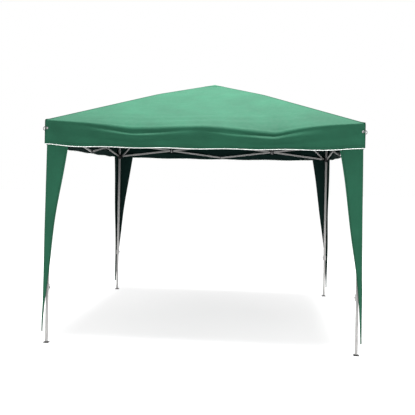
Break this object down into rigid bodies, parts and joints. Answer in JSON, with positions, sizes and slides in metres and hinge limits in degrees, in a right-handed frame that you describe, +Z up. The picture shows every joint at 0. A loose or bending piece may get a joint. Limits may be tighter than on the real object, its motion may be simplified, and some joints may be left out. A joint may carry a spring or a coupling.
{
  "type": "pop up gazebo",
  "caption": "Square pop up gazebo: a fabric hip roof with a valance on telescoping legs, joined by folding scissor trusses.",
  "frame": {"origin": "on the ground under the peak", "axes": "+Z up, the front faces -Y, +X to the right seen from the front"},
  "size_m": [3, 3, 2.7],
  "materials": {
    "green_fabric": "woven polyester, matt",
    "grey_steel": "light grey powder coat",
    "black_plastic": "moulded, matt"
  },
  "bodies": {
    "leg_front_left": {"outer_leg_front_left": "grey_steel", "corner_bracket_front_left": "black_plastic", "canopy": "green_fabric", "leg_cover_front_left": "green_fabric"},
    "leg_front_right": {"outer_leg_front_right": "grey_steel", "corner_bracket_front_right": "black_plastic", "leg_cover_front_right": "green_fabric"},
    "leg_back_right": {"outer_leg_back_right": "grey_steel", "corner_bracket_back_right": "black_plastic", "leg_cover_back_right": "green_fabric"},
    "leg_back_left": {"outer_leg_back_left": "grey_steel", "corner_bracket_back_left": "black_plastic", "leg_cover_back_left": "green_fabric"},
    "front_bar_a": {"front_bar_a": "grey_steel"},
    "front_bar_b": {"front_bar_b": "grey_steel"},
    "front_bar_c": {"front_bar_c": "grey_steel"},
    "front_bar_d": {"front_bar_d": "grey_steel"},
    "left_bar_a": {"left_bar_a": "grey_steel"},
    "left_bar_b": {"left_bar_b": "grey_steel"},
    "left_bar_c": {"left_bar_c": "grey_steel"},
    "left_bar_d": {"left_bar_d": "grey_steel"},
    "right_bar_a": {"right_bar_a": "grey_steel"},
    "right_bar_b": {"right_bar_b": "grey_steel"},
    "right_bar_c": {"right_bar_c": "grey_steel"},
    "right_bar_d": {"right_bar_d": "grey_steel"},
    "back_bar_a": {"back_bar_a": "grey_steel"},
    "back_bar_b": {"back_bar_b": "grey_steel"},
    "back_bar_c": {"back_bar_c": "grey_steel"},
    "back_bar_d": {"back_bar_d": "grey_steel"},
    "slider_front_left": {"slider_front_left": "black_plastic"},
    "roof_arm_front_left": {"roof_arm_front_left": "grey_steel"},
    "peak_arm_front_left": {"peak_arm_front_left": "grey_steel"},
    "strut_front_left": {"strut_front_left": "grey_steel"},
    "lock_button_front_left": {"lock_button_front_left": "black_plastic"},
    "height_button_front_left": {"height_button_front_left": "black_plastic"},
    "inner_leg_front_left": {"inner_leg_front_left": "grey_steel"},
    "slider_front_right": {"slider_front_right": "black_plastic"},
    "roof_arm_front_right": {"roof_arm_front_right": "grey_steel"},
    "peak_arm_front_right": {"peak_arm_front_right": "grey_steel"},
    "strut_front_right": {"strut_front_right": "grey_steel"},
    "lock_button_front_right": {"lock_button_front_right": "black_plastic"},
    "height_button_front_right": {"height_button_front_right": "black_plastic"},
    "inner_leg_front_right": {"inner_leg_front_right": "grey_steel"},
    "slider_back_right": {"slider_back_right": "black_plastic"},
    "roof_arm_back_right": {"roof_arm_back_right": "grey_steel"},
    "peak_arm_back_right": {"peak_arm_back_right": "grey_steel"},
    "strut_back_right": {"strut_back_right": "grey_steel"},
    "lock_button_back_right": {"lock_button_back_right": "black_plastic"},
    "height_button_back_right": {"height_button_back_right": "black_plastic"},
    "inner_leg_back_right": {"inner_leg_back_right": "grey_steel"},
    "slider_back_left": {"slider_back_left": "black_plastic"},
    "roof_arm_back_left": {"roof_arm_back_left": "grey_steel"},
    "peak_arm_back_left": {"peak_arm_back_left": "grey_steel"},
    "strut_back_left": {"strut_back_left": "grey_steel"},
    "lock_button_back_left": {"lock_button_back_left": "black_plastic"},
    "height_button_back_left": {"height_button_back_left": "black_plastic"},
    "inner_leg_back_left": {"inner_leg_back_left": "grey_steel"},
    "peak_hub": {"peak_hub": "black_plastic"}
  },
  "joints": [
    {"name": "frame_fold", "type": "hinge", "parent": "leg_front_left", "child": "front_bar_a", "pos_m": [-1.415, -1.46, 2.075], "axis": [0, 1, 0], "range_deg": [0, 79.95], "deforming": ["canopy"]},
    {"name": "front_bar_b_cross", "type": "hinge", "parent": "front_bar_a", "child": "front_bar_b", "pos_m": [-0.7075, -1.46, 1.9875], "axis": [0, 1, 0], "range_deg": [-160.4, 0.5]},
    {"name": "front_bar_d_end_pin", "type": "hinge", "parent": "front_bar_a", "child": "front_bar_d", "pos_m": [0, -1.46, 1.9], "axis": [0, 1, 0], "range_deg": [-160.4, 0.5]},
    {"name": "front_bar_c_cross", "type": "hinge", "parent": "front_bar_d", "child": "front_bar_c", "pos_m": [0.7075, -1.46, 1.9875], "axis": [0, 1, 0], "range_deg": [-0.5, 160.4]},
    {"name": "leg_front_right_upright", "type": "hinge", "parent": "front_bar_d", "child": "leg_front_right", "pos_m": [1.415, -1.46, 2.075], "axis": [0, 1, 0], "range_deg": [-0.5, 80.45]},
    {"name": "slider_front_left_drop", "type": "hinge", "parent": "front_bar_b", "child": "slider_front_left", "pos_m": [-1.415, -1.46, 1.9], "axis": [0, 1, 0], "range_deg": [-0.5, 80.45]},
    {"name": "slider_front_right_drop", "type": "hinge", "parent": "front_bar_c", "child": "slider_front_right", "pos_m": [1.415, -1.46, 1.9], "axis": [0, 1, 0], "range_deg": [-80.45, 0.5]},
    {"name": "left_bar_a_fold", "type": "hinge", "parent": "leg_front_left", "child": "left_bar_a", "pos_m": [-1.46, -1.415, 2.075], "axis": [-1, 0, 0], "range_deg": [-0.5, 80.45]},
    {"name": "left_bar_b_cross", "type": "hinge", "parent": "left_bar_a", "child": "left_bar_b", "pos_m": [-1.46, -0.7075, 1.9875], "axis": [-1, 0, 0], "range_deg": [-160.4, 0.5]},
    {"name": "left_bar_d_end_pin", "type": "hinge", "parent": "left_bar_a", "child": "left_bar_d", "pos_m": [-1.46, 0, 1.9], "axis": [-1, 0, 0], "range_deg": [-160.4, 0.5]},
    {"name": "left_bar_c_cross", "type": "hinge", "parent": "left_bar_d", "child": "left_bar_c", "pos_m": [-1.46, 0.7075, 1.9875], "axis": [-1, 0, 0], "range_deg": [-0.5, 160.4]},
    {"name": "leg_back_left_upright", "type": "hinge", "parent": "left_bar_d", "child": "leg_back_left", "pos_m": [-1.46, 1.415, 2.075], "axis": [-1, 0, 0], "range_deg": [-0.5, 80.45]},
    {"name": "slider_back_left_drop", "type": "hinge", "parent": "left_bar_c", "child": "slider_back_left", "pos_m": [-1.46, 1.415, 1.9], "axis": [-1, 0, 0], "range_deg": [-80.45, 0.5]},
    {"name": "right_bar_a_fold", "type": "hinge", "parent": "leg_front_right", "child": "right_bar_a", "pos_m": [1.46, -1.415, 2.075], "axis": [-1, 0, 0], "range_deg": [-0.5, 80.45]},
    {"name": "right_bar_b_cross", "type": "hinge", "parent": "right_bar_a", "child": "right_bar_b", "pos_m": [1.46, -0.7075, 1.9875], "axis": [-1, 0, 0], "range_deg": [-160.4, 0.5]},
    {"name": "right_bar_d_end_pin", "type": "hinge", "parent": "right_bar_a", "child": "right_bar_d", "pos_m": [1.46, 0, 1.9], "axis": [-1, 0, 0], "range_deg": [-160.4, 0.5]},
    {"name": "right_bar_c_cross", "type": "hinge", "parent": "right_bar_d", "child": "right_bar_c", "pos_m": [1.46, 0.7075, 1.9875], "axis": [-1, 0, 0], "range_deg": [-0.5, 160.4]},
    {"name": "leg_back_right_upright", "type": "hinge", "parent": "right_bar_d", "child": "leg_back_right", "pos_m": [1.46, 1.415, 2.075], "axis": [-1, 0, 0], "range_deg": [-0.5, 80.45]},
    {"name": "slider_back_right_drop", "type": "hinge", "parent": "right_bar_c", "child": "slider_back_right", "pos_m": [1.46, 1.415, 1.9], "axis": [-1, 0, 0], "range_deg": [-80.45, 0.5]},
    {"name": "back_bar_a_fold", "type": "hinge", "parent": "leg_back_left", "child": "back_bar_a", "pos_m": [-1.415, 1.46, 2.075], "axis": [0, 1, 0], "range_deg": [-0.5, 80.45]},
    {"name": "back_bar_b_cross", "type": "hinge", "parent": "back_bar_a", "child": "back_bar_b", "pos_m": [-0.7075, 1.46, 1.9875], "axis": [0, 1, 0], "range_deg": [-160.4, 0.5]},
    {"name": "back_bar_d_end_pin", "type": "hinge", "parent": "back_bar_a", "child": "back_bar_d", "pos_m": [0, 1.46, 1.9], "axis": [0, 1, 0], "range_deg": [-160.4, 0.5]},
    {"name": "back_bar_c_cross", "type": "hinge", "parent": "back_bar_d", "child": "back_bar_c", "pos_m": [0.7075, 1.46, 1.9875], "axis": [0, 1, 0], "range_deg": [-0.5, 160.4]},
    {"name": "roof_arm_front_left_fold", "type": "hinge", "parent": "leg_front_left", "child": "roof_arm_front_left", "pos_m": [-1.4105, -1.4105, 2.09], "axis": [-0.7071, 0.7071, 0], "range_deg": [-0.5, 107.25]},
    {"name": "strut_front_left_pivot", "type": "hinge", "parent": "slider_front_left", "child": "strut_front_left", "pos_m": [-1.4105, -1.4105, 1.9], "axis": [-0.7071, 0.7071, 0], "range_deg": [-57.47, 0.5]},
    {"name": "peak_arm_front_left_knee", "type": "hinge", "parent": "roof_arm_front_left", "child": "peak_arm_front_left", "pos_m": [-0.56568, -0.56568, 2.48], "axis": [-0.7071, 0.7071, 0], "range_deg": [-184.08, 0.5]},
    {"name": "peak_hub_upright", "type": "hinge", "parent": "peak_arm_front_left", "child": "peak_hub", "pos_m": [-0.03535, -0.03535, 2.635], "axis": [-0.7071, 0.7071, 0], "range_deg": [-0.5, 77.33]},
    {"name": "inner_leg_front_left_slide", "type": "slide", "parent": "leg_front_left", "child": "inner_leg_front_left", "axis": [0, 0, 1], "range_m": [0, 0.45], "deforming": ["leg_cover_front_left"]},
    {"name": "lock_button_front_left_push", "type": "slide", "parent": "slider_front_left", "child": "lock_button_front_left", "axis": [-1, 0, 0], "range_m": [0, 0.003], "stiffness_N_per_m": 600, "springref_m": -0.002},
    {"name": "height_button_front_left_push", "type": "slide", "parent": "leg_front_left", "child": "height_button_front_left", "axis": [-1, 0, 0], "range_m": [0, 0.003], "stiffness_N_per_m": 600, "springref_m": -0.002},
    {"name": "roof_arm_front_right_fold", "type": "hinge", "parent": "leg_front_right", "child": "roof_arm_front_right", "pos_m": [1.4105, -1.4105, 2.09], "axis": [-0.7071, -0.7071, 0], "range_deg": [-0.5, 107.25]},
    {"name": "strut_front_right_pivot", "type": "hinge", "parent": "slider_front_right", "child": "strut_front_right", "pos_m": [1.4105, -1.4105, 1.9], "axis": [-0.7071, -0.7071, 0], "range_deg": [-57.47, 0.5]},
    {"name": "peak_arm_front_right_fold", "type": "hinge", "parent": "peak_hub", "child": "peak_arm_front_right", "pos_m": [0.03535, -0.03535, 2.635], "axis": [-0.7071, -0.7071, 0], "range_deg": [-77.33, 0.5]},
    {"name": "inner_leg_front_right_slide", "type": "slide", "parent": "leg_front_right", "child": "inner_leg_front_right", "axis": [0, 0, 1], "range_m": [0, 0.45], "deforming": ["leg_cover_front_right"]},
    {"name": "lock_button_front_right_push", "type": "slide", "parent": "slider_front_right", "child": "lock_button_front_right", "axis": [1, 0, 0], "range_m": [0, 0.003], "stiffness_N_per_m": 600, "springref_m": -0.002},
    {"name": "height_button_front_right_push", "type": "slide", "parent": "leg_front_right", "child": "height_button_front_right", "axis": [1, 0, 0], "range_m": [0, 0.003], "stiffness_N_per_m": 600, "springref_m": -0.002},
    {"name": "roof_arm_back_right_fold", "type": "hinge", "parent": "leg_back_right", "child": "roof_arm_back_right", "pos_m": [1.4105, 1.4105, 2.09], "axis": [0.7071, -0.7071, 0], "range_deg": [-0.5, 107.25]},
    {"name": "strut_back_right_pivot", "type": "hinge", "parent": "slider_back_right", "child": "strut_back_right", "pos_m": [1.4105, 1.4105, 1.9], "axis": [0.7071, -0.7071, 0], "range_deg": [-57.47, 0.5]},
    {"name": "peak_arm_back_right_fold", "type": "hinge", "parent": "peak_hub", "child": "peak_arm_back_right", "pos_m": [0.03535, 0.03535, 2.635], "axis": [0.7071, -0.7071, 0], "range_deg": [-77.33, 0.5]},
    {"name": "inner_leg_back_right_slide", "type": "slide", "parent": "leg_back_right", "child": "inner_leg_back_right", "axis": [0, 0, 1], "range_m": [0, 0.45], "deforming": ["leg_cover_back_right"]},
    {"name": "lock_button_back_right_push", "type": "slide", "parent": "slider_back_right", "child": "lock_button_back_right", "axis": [1, 0, 0], "range_m": [0, 0.003], "stiffness_N_per_m": 600, "springref_m": -0.002},
    {"name": "height_button_back_right_push", "type": "slide", "parent": "leg_back_right", "child": "height_button_back_right", "axis": [1, 0, 0], "range_m": [0, 0.003], "stiffness_N_per_m": 600, "springref_m": -0.002},
    {"name": "roof_arm_back_left_fold", "type": "hinge", "parent": "leg_back_left", "child": "roof_arm_back_left", "pos_m": [-1.4105, 1.4105, 2.09], "axis": [0.7071, 0.7071, 0], "range_deg": [-0.5, 107.25]},
    {"name": "strut_back_left_pivot", "type": "hinge", "parent": "slider_back_left", "child": "strut_back_left", "pos_m": [-1.4105, 1.4105, 1.9], "axis": [0.7071, 0.7071, 0], "range_deg": [-57.47, 0.5]},
    {"name": "peak_arm_back_left_fold", "type": "hinge", "parent": "peak_hub", "child": "peak_arm_back_left", "pos_m": [-0.03535, 0.03535, 2.635], "axis": [0.7071, 0.7071, 0], "range_deg": [-77.33, 0.5]},
    {"name": "inner_leg_back_left_slide", "type": "slide", "parent": "leg_back_left", "child": "inner_leg_back_left", "axis": [0, 0, 1], "range_m": [0, 0.45], "deforming": ["leg_cover_back_left"]},
    {"name": "lock_button_back_left_push", "type": "slide", "parent": "slider_back_left", "child": "lock_button_back_left", "axis": [-1, 0, 0], "range_m": [0, 0.003], "stiffness_N_per_m": 600, "springref_m": -0.002},
    {"name": "height_button_back_left_push", "type": "slide", "parent": "leg_back_left", "child": "height_button_back_left", "axis": [-1, 0, 0], "range_m": [0, 0.003], "stiffness_N_per_m": 600, "springref_m": -0.002}
  ],
  "couplings": [
    {"joint": "front_bar_b_cross", "follows": "frame_fold", "ratio": -2},
    {"joint": "front_bar_d_end_pin", "follows": "frame_fold", "ratio": -2},
    {"joint": "front_bar_c_cross", "follows": "frame_fold", "ratio": 2},
    {"joint": "leg_front_right_upright", "follows": "frame_fold", "ratio": 1},
    {"joint": "slider_front_left_drop", "follows": "frame_fold", "ratio": 1},
    {"joint": "slider_front_right_drop", "follows": "frame_fold", "ratio": -1},
    {"joint": "left_bar_a_fold", "follows": "frame_fold", "ratio": 1},
    {"joint": "left_bar_b_cross", "follows": "frame_fold", "ratio": -2},
    {"joint": "left_bar_d_end_pin", "follows": "frame_fold", "ratio": -2},
    {"joint": "left_bar_c_cross", "follows": "frame_fold", "ratio": 2},
    {"joint": "leg_back_left_upright", "follows": "frame_fold", "ratio": 1},
    {"joint": "slider_back_left_drop", "follows": "frame_fold", "ratio": -1},
    {"joint": "right_bar_a_fold", "follows": "frame_fold", "ratio": 1},
    {"joint": "right_bar_b_cross", "follows": "frame_fold", "ratio": -2},
    {"joint": "right_bar_d_end_pin", "follows": "frame_fold", "ratio": -2},
    {"joint": "right_bar_c_cross", "follows": "frame_fold", "ratio": 2},
    {"joint": "leg_back_right_upright", "follows": "frame_fold", "ratio": 1},
    {"joint": "slider_back_right_drop", "follows": "frame_fold", "ratio": -1},
    {"joint": "back_bar_a_fold", "follows": "frame_fold", "ratio": 1},
    {"joint": "back_bar_b_cross", "follows": "frame_fold", "ratio": -2},
    {"joint": "back_bar_d_end_pin", "follows": "frame_fold", "ratio": -2},
    {"joint": "back_bar_c_cross", "follows": "frame_fold", "ratio": 2},
    {"joint": "roof_arm_front_left_fold", "follows": "frame_fold", "ratio": 1.3352},
    {"joint": "strut_front_left_pivot", "follows": "frame_fold", "ratio": -0.71262},
    {"joint": "peak_arm_front_left_knee", "follows": "frame_fold", "ratio": -2.2961},
    {"joint": "peak_hub_upright", "follows": "frame_fold", "ratio": 0.96094},
    {"joint": "roof_arm_front_right_fold", "follows": "frame_fold", "ratio": 1.3352},
    {"joint": "strut_front_right_pivot", "follows": "frame_fold", "ratio": -0.71262},
    {"joint": "peak_arm_front_right_fold", "follows": "frame_fold", "ratio": -0.96094},
    {"joint": "roof_arm_back_right_fold", "follows": "frame_fold", "ratio": 1.3352},
    {"joint": "strut_back_right_pivot", "follows": "frame_fold", "ratio": -0.71262},
    {"joint": "peak_arm_back_right_fold", "follows": "frame_fold", "ratio": -0.96094},
    {"joint": "roof_arm_back_left_fold", "follows": "frame_fold", "ratio": 1.3352},
    {"joint": "strut_back_left_pivot", "follows": "frame_fold", "ratio": -0.71262},
    {"joint": "peak_arm_back_left_fold", "follows": "frame_fold", "ratio": -0.96094}
  ]
}
